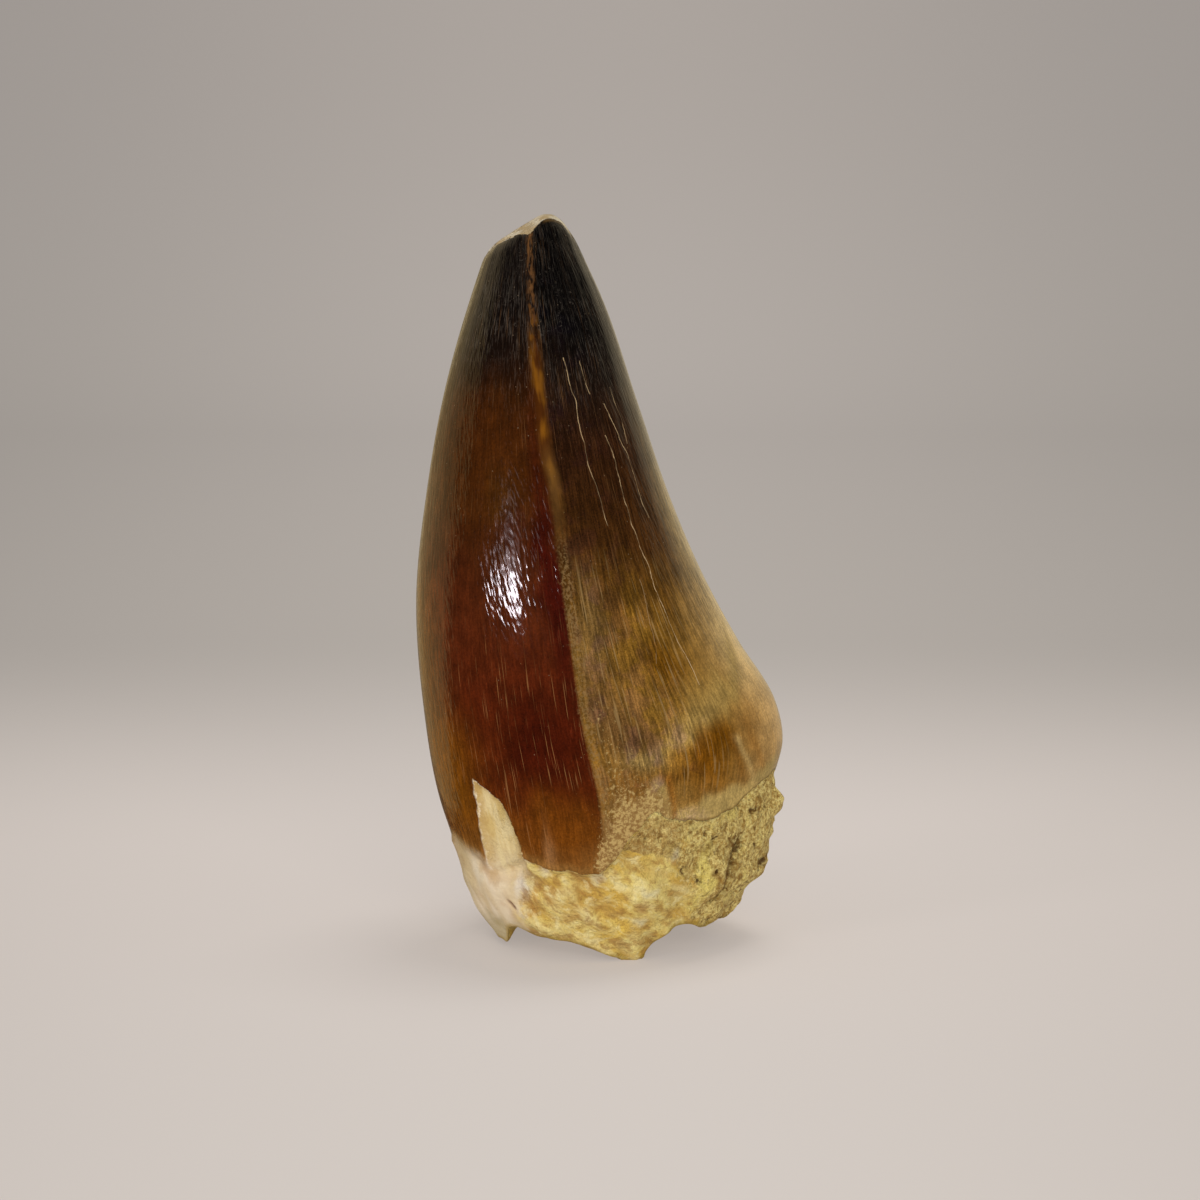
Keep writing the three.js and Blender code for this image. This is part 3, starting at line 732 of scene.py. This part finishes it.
def tooth_material():
    g = Graph(bpy.data.materials.new("fossil_tooth"))
    shader = g.tree.nodes["Principled BSDF"].inputs
    place = g.place()
    across, _, height = g.split(place)
    flow = g.attribute("flow", "Vector")  # runs round the tooth in x and y, and up it in z
    slant = g.attribute("slant", "Vector")  # the same, twisted so that its grain leans
    crust, pit, porcelain = g.split(g.attribute("zones", "Vector"))
    edge, keel, striae, dust = (g.attribute(name) for name in ("edge", "keel", "striae", "dust"))

    # Enamel: fine striae run up it, pale where they are scratched and dark where they are grown.
    fine = g.fibres(flow, (6.4, 6.4, 0.6), 2, 0.6)
    finer = g.fibres(flow, (10, 10, 0.9), 2, 0.6)
    broad = g.fibres(flow, (2.2, 2.2, 0.3), 2, 0.5, 0.3)
    hairs = g.fibres(flow, (12, 12, 0.22), 1)
    grain = g.noise(place, 5, 2, 0.6)
    speckle = g.noise(place, 9, 1)
    hue = g.noise(place, 0.5, 3, 0.6)
    cloud = g.noise(place, 0.55, 3, 0.55)
    where = g.noise(place, 0.22)
    around = g.split(flow)[0]
    right = g.span(around, -0.5, 0.8)
    near_keel = g.times(right, g.span(around, 7, 4))
    sides = g.math("MAXIMUM", right, g.span(around, -7.5, -9.4, 0, 1.2))
    streak = g.plus(g.times(fine, 0.7), g.times(broad, 0.3))
    deep = g.span(streak, 0.36, 0.64, -0.17, 0.2)
    deeper = g.span(streak, 0.38, 0.62, -0.34, 0.4)
    contrast = g.times(g.between(sides, deep, deeper), striae)
    enamel = g.scale(g.attribute("tint", "Color"), g.plus(1, contrast))
    enamel = g.scale(enamel, g.span(cloud, 0.34, 0.66, 0.84, 1.17))
    enamel = g.scale(enamel, g.span(grain, 0.34, 0.66, 0.87, 1.15))
    spotty = g.times(g.span(speckle, 0.3, 0.7, -1, 1.1), g.between(near_keel, 0.08, 0.2))
    enamel = g.scale(enamel, g.plus(1, spotty))
    duller = g.times(g.span(hue, 0.46, 0.62, 0, 0.8), near_keel)
    enamel = g.mix(duller, enamel, g.stretch(enamel, (0.97, 0.92, 1.7)))

    # Pale streaks, strands, scratches, specks and scuffs in it.
    more_at_tip = g.span(height, 42, 50, 0, 0.06)
    pale = g.span(g.plus(finer, more_at_tip), 0.58, 0.7)
    pale = g.times(pale, g.span(where, 0.38, 0.62, 0.35, 1), striae, 0.75)
    lighter = g.mix(g.span(height, 40, 52, 0.004, 0.1), g.scale(enamel, 1.7), (190, 178, 160), "ADD")
    enamel = g.mix(pale, enamel, lighter)
    strands = g.span(g.fibres(flow, (7, 7, 0.26), 1), 0.6, 0.7)
    strands = g.times(strands, right, g.span(around, 8.4, 6.5), g.span(height, 36, 30, 0, 0.5))
    enamel = g.mix(g.times(strands, g.span(striae, 0.35, 0.95)), enamel, (168, 138, 88))
    scratch = g.times(g.span(hairs, 0.63, 0.72), g.span(where, 0.36, 0.56))
    low_left = g.times(g.span(height, 30, 24), g.span(right, 0.5, 0))
    scratch = g.times(scratch, g.span(low_left, 0, 1, 0.15, 0.5), striae)
    enamel = g.mix(scratch, enamel, (172, 122, 72))
    specks = g.times(g.span(g.cells(place, 1.3), 0.085, 0.03), g.span(where, 0.4, 0.6), 0.35)
    enamel = g.mix(specks, enamel, (180, 156, 124))
    scuffs = g.times(g.span(g.noise(place, 3, 3, 0.7), 0.56, 0.7), g.span(cloud, 0.46, 0.6))
    enamel = g.mix(g.times(scuffs, g.span(height, 44, 52, 0, 0.18)), enamel, (128, 118, 104))

    # The keel: an amber line near the tip, and further down a row of pale flecks.
    grit = g.fibres(flow, (2.24, 2.24, 1.54), 3, 0.6)
    raggedness = g.span(height, 36, 41, 1.2, 0.3)
    beside_keel = g.plus(keel, g.times(g.minus(grit, 0.5), raggedness))
    off_line = g.math("ABSOLUTE", g.minus(beside_keel, g.span(height, 44, 39, 0, 0.4)))
    off_line = g.times(off_line, g.span(height, 50, 54, 1, 1.6))
    gold = g.span(g.fibres(flow, (1, 1, 0.3)), 0.44, 0.64)
    amber = g.paint(g.mix(gold, (78, 40, 8), (134, 84, 18)), [
        (height, 44, 40, 0.5, (140, 102, 50)), (height, 50.5, 55.5, 1, (110, 74, 40)),
    ])
    flecks = g.span(g.fibres(flow, (1.7, 1.7, 0.9), 3, 0.6), 0.42, 0.6, 0.05, 0.85)
    flecks = g.between(g.span(height, 48, 53), 0.85, flecks)
    enamel = g.mix(g.times(g.span(off_line, 0.85, 0), g.span(height, 32.5, 43), flecks), enamel, amber)
    crumbs = g.span(g.noise(place, 4.2, 3, 0.65), 0.47, 0.58)
    near_crumbs = g.span(g.math("ABSOLUTE", g.minus(beside_keel, 0.45)), 0.75, 0.1)
    crumbs = g.times(crumbs, near_crumbs, g.span(height, 37, 33, 0, 0.55))
    enamel = g.mix(crumbs, enamel, (150, 120, 76))

    # Hairline cracks.
    jitter = g.times(g.minus(g.noise(place, 1.4, 3), 0.5), 0.25)
    fading = g.span(g.noise(place, 0.7, 3), 0.4, 0.56, 0.25, 1)
    for i, name in enumerate(("cracks_a", "cracks_b")):
        offsets = g.split(g.attribute(name, "Vector"))
        for offset, (strength, *_) in zip(offsets, CRACKS[3 * i : 3 * i + 3]):
            line = g.span(g.math("ABSOLUTE", g.plus(offset, jitter)), 0.06, 0.015)
            enamel = g.mix(g.times(line, fading, strength), enamel, (204, 174, 130))

    # Root: lemon to ochre dentine with leaning hollows and ridges, painted darker in the hollows as
    # shade and paler on the tops as light.
    big = g.noise(place, 0.3, 3, 0.55)
    middle = g.noise(place, 0.75, 3, 0.6, 0.4)
    small = g.noise(place, 2.6, 3, 0.65)
    pores = g.noise(place, 1.5, 3, 0.6)
    soft = g.noise(place, 0.62)
    uneven = g.minus(small, 0.5)
    patchy = g.minus(middle, 0.5)
    sockets = {"Vector": place, "Angle": -math.radians(RIDGES["lean"])}
    leaning = g.add("ShaderNodeVectorRotate", sockets, rotation_type="Y_AXIS")
    blotch = g.fibres(leaning, (0.3, 0.5, 0.62), 3, 0.55, 0.3)
    groove = g.fibres(leaning, (0.45, 0.8, 1.15), 3, 0.6)
    lumpy = g.fibres(leaning, (0.75, 0.95, 1.1), 4, 0.6, 0.4)
    # This colour holds the root's stains and also painted light: shade in the crevice, a paler toe and
    # a soft highlight on the porcelain.
    stain_and_light = g.attribute("stain_and_light", "Color")
    stain_and_light_reach = g.plus(g.attribute("stain_and_light_reach"), g.times(uneven, 0.25))
    root = g.paint(g.mix(g.span(big, 0.38, 0.6), (242, 220, 132), (228, 192, 90)), [
        (blotch, 0.46, 0.68, 0.6, (208, 160, 66)), (blotch, 0.5, 0.3, 0.6, (246, 230, 156)),
        (stain_and_light_reach, 0, 0.9, 0.8, stain_and_light),
    ])
    # Painted shade and light: the hollows between the ridges are painted darker and their tops paler,
    # and the lumpy coats paint pale tops and dark hollows that are partly the dentine's mottling and
    # partly painted light and shade.
    ridges = g.plus(g.attribute("ridges"), g.times(g.minus(groove, 0.5), 2.6))
    more_on_left = g.span(g.span(across, 4, -3), 0, 1, 0.35, 0.7)
    root = g.mix(g.times(g.span(ridges, 0.1, -0.7), more_on_left), root, (178, 130, 62))
    root = g.paint(root, [
        (ridges, 0.1, 0.7, 0.5, (252, 234, 162)), (lumpy, 0.49, 0.36, 0.6, (176, 128, 56)),
        (lumpy, 0.52, 0.66, 0.6, (253, 238, 172)), (pores, 0.6, 0.74, 0.35, (156, 108, 44)),
        (small, 0.56, 0.74, 0.25, (156, 114, 50)),
    ])

    # A sandy crust with dark pits, on the right.
    crumbly = g.noise(place, 3.4, 3, 0.7)
    clods = g.noise(place, 2, 4, 0.72)
    sand = g.paint(g.mix(g.span(crumbly, 0.4, 0.6), (248, 226, 142), (192, 156, 80)), [
        (soft, 0.44, 0.62, 0.3, (166, 126, 50)), (middle, 0.52, 0.68, 0.6, (158, 112, 34)),
        (soft, 0.44, 0.32, 0.5, (250, 228, 132)), (stain_and_light_reach, 0, 0.8, 0.8, stain_and_light),
        (dust, 0.05, 0.5, 0.55, (172, 134, 72)), (pores, 0.55, 0.68, 0.6, (122, 86, 22)),
        (clods, 0.54, 0.66, 0.6, (128, 90, 26)), (clods, 0.46, 0.34, 0.6, (252, 232, 150)),
        (crumbly, 0.6, 0.72, 0.4, (118, 84, 28)), (crumbly, 0.4, 0.3, 0.5, (250, 232, 164)),
    ])
    # The pits, the crevice and the slit are darkened here; along the crevice this is partly painted
    # shade.
    hole = g.plus(pit, g.times(g.plus(uneven, g.times(patchy, 0.8)), 2.2))
    in_pit = g.times(g.span(hole, 0.25, 0.9, 0, 0.85), g.span(pit, 0.02, 0.25))
    sand = g.mix(in_pit, sand, (88, 54, 10))
    crusty = g.plus(crust, g.plus(g.times(uneven, 1.2), g.times(patchy, 1.6)))
    root = g.mix(g.times(g.span(crusty, 0.2, 0.75), g.span(crust, 0.02, 0.3)), root, sand)

    # Worn dentine as pale as porcelain, on the left, with a dark slit in it.
    bands = g.fibres(flow, (0.4, 0.4, 0.12))
    china = g.paint(g.mix(g.span(bands, 0.4, 0.62), (240, 224, 192), (218, 196, 152)), [
        (soft, 0.5, 0.66, 0.3, (206, 172, 130)), (across, -9.8, -11.6, 0.5, (186, 170, 120)),
        (stain_and_light_reach, 0, 0.9, 0.8, stain_and_light), (height, 3.6, 1, 0.7, (164, 148, 92)),
    ])
    worn = g.times(g.span(g.plus(porcelain, patchy), 0.2, 0.8), g.span(porcelain, 0, 0.25))
    root = g.mix(worn, root, china)
    in_slit = g.times(g.span(pit, 0.3, 0.9), g.span(porcelain, 0.2, 0.5))
    root = g.mix(in_slit, root, (150, 118, 90))

    # The olive rim, which is partly painted shade where the root turns under at its foot; the scar
    # that the lost flake left; and the broken tip.
    above_rim = g.plus(g.attribute("rim"), g.times(patchy, 1.2))
    root = g.paint(root, [(above_rim, 0.5, 0, 0.65, (164, 132, 40))])
    in_scar = g.plus(g.attribute("flake"), g.times(uneven, 0.7))
    scar = g.paint(g.mix(g.span(height, 7.5, 11.5), (226, 206, 160), (216, 188, 118)), [
        (middle, 0.5, 0.66, 0.6, (196, 160, 90)),
        (g.fibres(flow, (2, 2, 0.4)), 0.4, 0.65, 1, (232, 212, 156)),
        (in_scar, 0.7, 0, 0.7, (184, 148, 84)),
    ])
    root = g.mix(g.times(g.span(in_scar, -0.05, 0.1), g.span(height, 6, 9)), root, scar)
    broken = g.mix(g.span(middle, 0.4, 0.62), (214, 200, 170), (182, 158, 116))
    root = g.mix(g.span(height, 50, 52), root, broken)

    # Sandy dust lies on the enamel's foot, thinning upwards, and a dark seam along its margin.
    dusted = g.plus(g.minus(g.noise(place, 2.8, 4, 0.75), 0.76), g.times(dust, 0.42))
    sandy = g.mix(g.span(crumbly, 0.42, 0.58), (210, 180, 112), (150, 114, 58))
    enamel = g.paint(enamel, [
        (dust, 0.2, 0.8, 0.7, (134, 96, 48)), (dusted, -0.08, 0.07, 0.75, sandy),
    ])
    seam = g.times(g.span(edge, 0.32, 0.06, 0, 0.6), g.span(around, 3, 5))
    enamel = g.mix(seam, enamel, (100, 72, 30))

    is_enamel = g.plus(edge, g.times(uneven, g.attribute("crisp"), 0.5))
    is_enamel = g.span(is_enamel, *MARGIN_SHARPNESS)
    g.set(shader["Base Color"], g.mix(is_enamel, root, enamel))

    # Gloss: polished enamel, matt root.
    polish = g.times(is_enamel, g.span(dusted, 0.05, -0.03))
    g.set(shader["Roughness"], g.span(polish, 0, 1, ROUGHNESS["root"], ROUGHNESS["enamel"]))
    shader["Specular IOR Level"].default_value = SPECULAR

    # Fine relief: leaning wrinkles in the enamel and grain on the root.
    wrinkles = g.fibres(slant, (3.6, 3.6, 0.95), 1)
    enamel_relief = g.plus(g.times(wrinkles, WRINKLE_HEIGHT), g.times(fine, STRIA_HEIGHT))
    root_relief = g.plus(
        g.times(small, ROOT_GRAIN_HEIGHT), g.times(crumbly, ROOT_CRUMB_HEIGHT),
        g.times(pores, g.span(crust, 0.1, 0.7, *PORE_HEIGHTS)),
    )
    smoother = g.span(porcelain, 0.2, 0.8, 1, 0.3)
    root_relief = g.times(root_relief, g.minus(1, is_enamel), smoother)
    relief = g.plus(g.times(enamel_relief, is_enamel), root_relief)
    g.set(shader["Normal"], g.bump(relief))
    return g.owner


# ---- The tooth ----

SOFT_MARGIN = {"begins": (-98, -80), "ends": (-38, -50), "softness": 0.93}  # by the porcelain
BREAK_EDGE = 0.02
DUST = {"wash": 0.45, "wash_turn": 6, "wash_width": 7, "foot": 1.05}
CALM = 0.7  # how much weaker the striae are on the lower right
# What the material needs to know at each point, with its values on the underside and on the break.
NUMBERS = {
    "edge": (-2, -2), "keel": (9, 9), "flake": (-2, -2), "dust": (0, 0), "striae": (1, 1),
    "ridges": (0, 0), "crisp": (1, 1), "rim": (0, 9), "stain_and_light_reach": (0, 0),
}


def enamel_masks(shell, facts):
    """How far inside the enamel's edge a point is, how crisp that edge is, and the dust and striae."""
    turn, above, z = facts["turn"], facts["above"], shell[..., 2]
    soft_margin = rise(turn, *SOFT_MARGIN["begins"]) * fall(turn, *SOFT_MARGIN["ends"])
    crisp = 1 - SOFT_MARGIN["softness"] * soft_margin
    edge = np.minimum(np.minimum(above * crisp, facts["below_tip"] - BREAK_EDGE), -facts["flake"])
    wash = np.exp(-(((turn - DUST["wash_turn"]) / DUST["wash_width"]) ** 2)) * fall(above, 22, 3)
    foot = rise(turn, -9, 2) * fall(turn, 32, 12)
    foot = foot * (0.7 * fall(above, 3.2, 0.6) + 0.3 * fall(above, 7, 1))
    dust = np.clip(DUST["wash"] * wash + DUST["foot"] * foot, 0, 1)
    on_flank = rise(turn, 30, 56) * fall(turn, 140, 110) * fall(z, 31, 24)
    at_foot = rise(turn, 10, 24) * fall(turn, 120, 90) * fall(above, 4, 1)
    striae = 1 - CALM * np.maximum(on_flank, at_foot)
    return dict(edge=edge, crisp=crisp, dust=dust, striae=striae)


def tooth_mesh():
    even = np.arange(COLUMNS) / COLUMNS * 2 * math.pi
    turns = even - COLUMN_CROWDING * np.sin(2 * even)
    shell, facts = wall(turns)
    below = underside(shell[0])
    above = tip(shell[-1])
    rings = np.concatenate([below, shell, above])
    rows = len(rings)
    bottom = [UNDERSIDE["x"], UNDERSIDE["y"], below[0, :, 2].mean()]
    top = above[-1].mean(0)
    points = np.concatenate([[bottom], rings.reshape(-1, 3), [top]])

    def at_points(values, at_bottom, at_top):
        """Spreads what is known on the wall to the underside and the tip."""
        lower = np.full(1 + len(below) * COLUMNS, at_bottom, float)
        upper = np.full(len(above) * COLUMNS + 1, at_top, float)
        return np.concatenate([lower, values.ravel(), upper])

    column = np.arange(COLUMNS)
    beside = (column + 1) % COLUMNS
    row = np.arange(rows - 1)[:, None] * COLUMNS + 1
    corners = [row + column, row + beside, row + COLUMNS + beside, row + COLUMNS + column]
    quads = np.stack(corners, -1).reshape(-1, 4)
    last = len(points) - 1
    final = 1 + (rows - 1) * COLUMNS
    fans = [(0, int(b) + 1, int(a) + 1) for a, b in zip(column, beside)]
    fans += [(final + int(a), final + int(b), last) for a, b in zip(column, beside)]
    mesh = bpy.data.meshes.new("tooth_visual")
    mesh.from_pydata((points * MM).tolist(), [], quads.tolist() + fans)
    mesh.shade_smooth()

    turn = np.radians(at_points(facts["turn"], 0, 0))
    z = points[:, 2]
    lean = turn + GRAIN_LEAN * z
    vectors = {
        "flow": [FLOW_RADIUS * np.sin(turn), FLOW_RADIUS * np.cos(turn), z],
        "slant": [FLOW_RADIUS * np.sin(lean), FLOW_RADIUS * np.cos(lean), z],
        "zones": [at_points(facts[k], 0, 0) for k in ("crust", "pit", "porcelain")],
        "cracks_a": [at_points(c, FAR, FAR) for c in facts["cracks"][:3]],
        "cracks_b": [at_points(c, FAR, FAR) for c in facts["cracks"][3:]],
    }
    stain_and_light, stain_and_light_reach = root_stains_and_light(shell, facts)
    known = {**facts, **enamel_masks(shell, facts), "stain_and_light_reach": stain_and_light_reach}
    numbers = {name: at_points(known[name], *ends) for name, ends in NUMBERS.items()}
    colours = {
        name: [at_points(rgb[..., i], at_bottom, 0.5) for i in range(3)] + [np.ones(len(points))]
        for name, rgb, at_bottom in (("tint", enamel_tint(shell, facts), 0.3), ("stain_and_light", stain_and_light, 0.5))
    }
    for kind, field, layers in (
        ("FLOAT_VECTOR", "vector", vectors), ("FLOAT", "value", numbers),
        ("FLOAT_COLOR", "color", colours),
    ):
        for name, values in layers.items():
            values = np.stack(values, -1).astype(np.float32).ravel()
            mesh.attributes.new(name, kind, "POINT").data.foreach_set(field, values)
    return mesh


tooth = put("tooth_visual", tooth_mesh())
tooth.data.materials.append(tooth_material())
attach(tooth, "root")
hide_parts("tooth")

# ---- The studio ----

SWEEP = {"sides": (-1500, 1500), "front": -1500, "bend": 320, "radius": 140, "height": 1500}
# The paper's colour in its middle and at its sides, by how far back and up it goes (mm). It is painted
# light: paler on the floor and in the middle, darker up the wall and towards the sides, as the
# studio's light falls off.
PAPER = [
    (-60, (208, 200, 193), (182, 174, 168)), (30, (212, 203, 196), (186, 178, 171)),
    (140, (178, 171, 164), (159, 153, 147)), (360, (176, 169, 163), (160, 154, 148)),
    (500, (169, 162, 156), (157, 151, 146)),
]
PAPER_SIDES = 130  # mm from the middle
# The paper glows a little, so that the tooth's shadow on it is light.
PAPER_LIT = (0.56, 0.548, 0.531)
PAPER_GLOW = {"colour": (0.98, 1, 1.03), "strength": 0.51}


def add_sweep():
    """A floor that curves up into a wall behind the tooth."""
    steps = 24
    angles = [i / steps * math.pi / 2 for i in range(steps + 1)]
    radius = SWEEP["radius"]
    profile = [(SWEEP["front"], 0)]
    profile += [(SWEEP["bend"] + radius * math.sin(a), radius * (1 - math.cos(a))) for a in angles]
    profile += [(SWEEP["bend"] + radius, SWEEP["height"])]
    points = [(x * MM, y * MM, z * MM) for y, z in profile for x in SWEEP["sides"]]
    faces = [(2 * i, 2 * i + 1, 2 * i + 3, 2 * i + 2) for i in range(len(profile) - 1)]
    mesh = bpy.data.meshes.new("sweep")
    mesh.from_pydata(points, [], faces)
    mesh.shade_smooth()
    sweep = put("sweep", mesh)
    g = Graph(bpy.data.materials.new("sweep"))
    shader = g.tree.nodes["Principled BSDF"].inputs
    across, back, up = g.split(g.place())
    along = g.plus(back, up)
    # Painted light on the paper: darker towards its sides and up the wall.
    at_side = g.span(g.math("ABSOLUTE", across), 0, PAPER_SIDES)
    paper = g.mix(at_side, *PAPER[0][1:])
    for (start, _, _), (stop, middle, side) in zip(PAPER, PAPER[1:]):
        paper = g.mix(g.span(along, start, stop), paper, g.mix(at_side, middle, side))
    g.set(shader["Base Color"], g.stretch(paper, PAPER_LIT))
    g.set(shader["Emission Color"], g.stretch(paper, PAPER_GLOW["colour"]))
    shader["Emission Strength"].default_value = PAPER_GLOW["strength"]
    shader["Roughness"].default_value = 0.9
    shader["Specular IOR Level"].default_value = 0
    mesh.materials.append(g.owner)
    sweep.visible_glossy = False


def add_softbox(name, turn, elevation, distance, size, power, colour, mirrored=False):
    """A rectangular lamp seen from the tooth's middle at a turn from the front and an elevation."""
    data = bpy.data.lights.new(name, "AREA")
    data.shape = "RECTANGLE"
    data.size, data.size_y = (s * MM for s in size)
    data.energy = power
    data.color = colour
    lamp = put(name, data)
    lamp.visible_glossy = mirrored
    a, e = math.radians(turn), math.radians(elevation)
    direction = Vector((math.sin(a) * math.cos(e), -math.cos(a) * math.cos(e), math.sin(e)))
    lamp.location = (Vector((0, 0, 30)) + direction * distance) * MM
    lamp.rotation_euler = direction.to_track_quat("Z", "Y").to_euler()


add_sweep()
add_softbox("window", -53, 7.4, 900, (190, 90), 1.5, (0.97, 0.92, 1), mirrored=True)
add_softbox("window_glow", -54, 8.5, 900, (250, 140), 0.4, (1, 0.84, 0.88), mirrored=True)
add_softbox("window_head", -50, 15, 900, (220, 80), 0.05, (1, 0.82, 0.78), mirrored=True)
add_softbox("front_fill", 10, 22, 900, (500, 350), 2.7, (1, 0.99, 0.97))
add_softbox("top", 140, 76, 900, (380, 380), 3.1, (1, 1, 1))


# What gloss mirrors of the studio: its darkness, and warm pale areas around these directions. Each
# has the cosines of the angles at which it begins and is full, and its brightness in linear light.
MIRRORED_DARK = (0.015,) * 3
MIRRORED = [
    ((-0.7, 0.66, 0.26), 0.765, 0.8, (0.44, 0.32, 0.14)),
    ((-0.6, 0.5, 0.62), 0.8, 0.96, (0.22, 0.2, 0.18)),
    ((0.55, 0.8, 0.25), 0.7, 1, (0.5, 0.42, 0.28)),
    ((0, 1, 0), 0.85, 1, (0.3, 0.25, 0.17)),
]
STUDIO_GLOW = (0.5,) * 3


def add_world():
    """An even studio glow, with a view of its own for what gloss mirrors."""
    g = Graph(bpy.data.worlds.new("studio"))
    direction = g.add("ShaderNodeTexCoord", {}, "Generated")
    mirrored = MIRRORED_DARK
    for towards, begins, full, brightness in MIRRORED:
        unit = tuple(Vector(towards).normalized())
        near = g.vectors("DOT_PRODUCT", direction, unit, "Value")
        area = g.scale(brightness, g.span(near, begins, full))
        mirrored = g.vectors("ADD", mirrored, area)
    glossy = g.add("ShaderNodeLightPath", {}, "Is Glossy Ray")
    light = g.scale(g.vectors("SUBTRACT", mirrored, STUDIO_GLOW), glossy)
    light = g.vectors("ADD", light, STUDIO_GLOW)
    g.set(g.tree.nodes["Background"].inputs["Color"], light)
    bpy.context.scene.world = g.owner


add_world()
bpy.context.scene.view_settings.view_transform = "Standard"
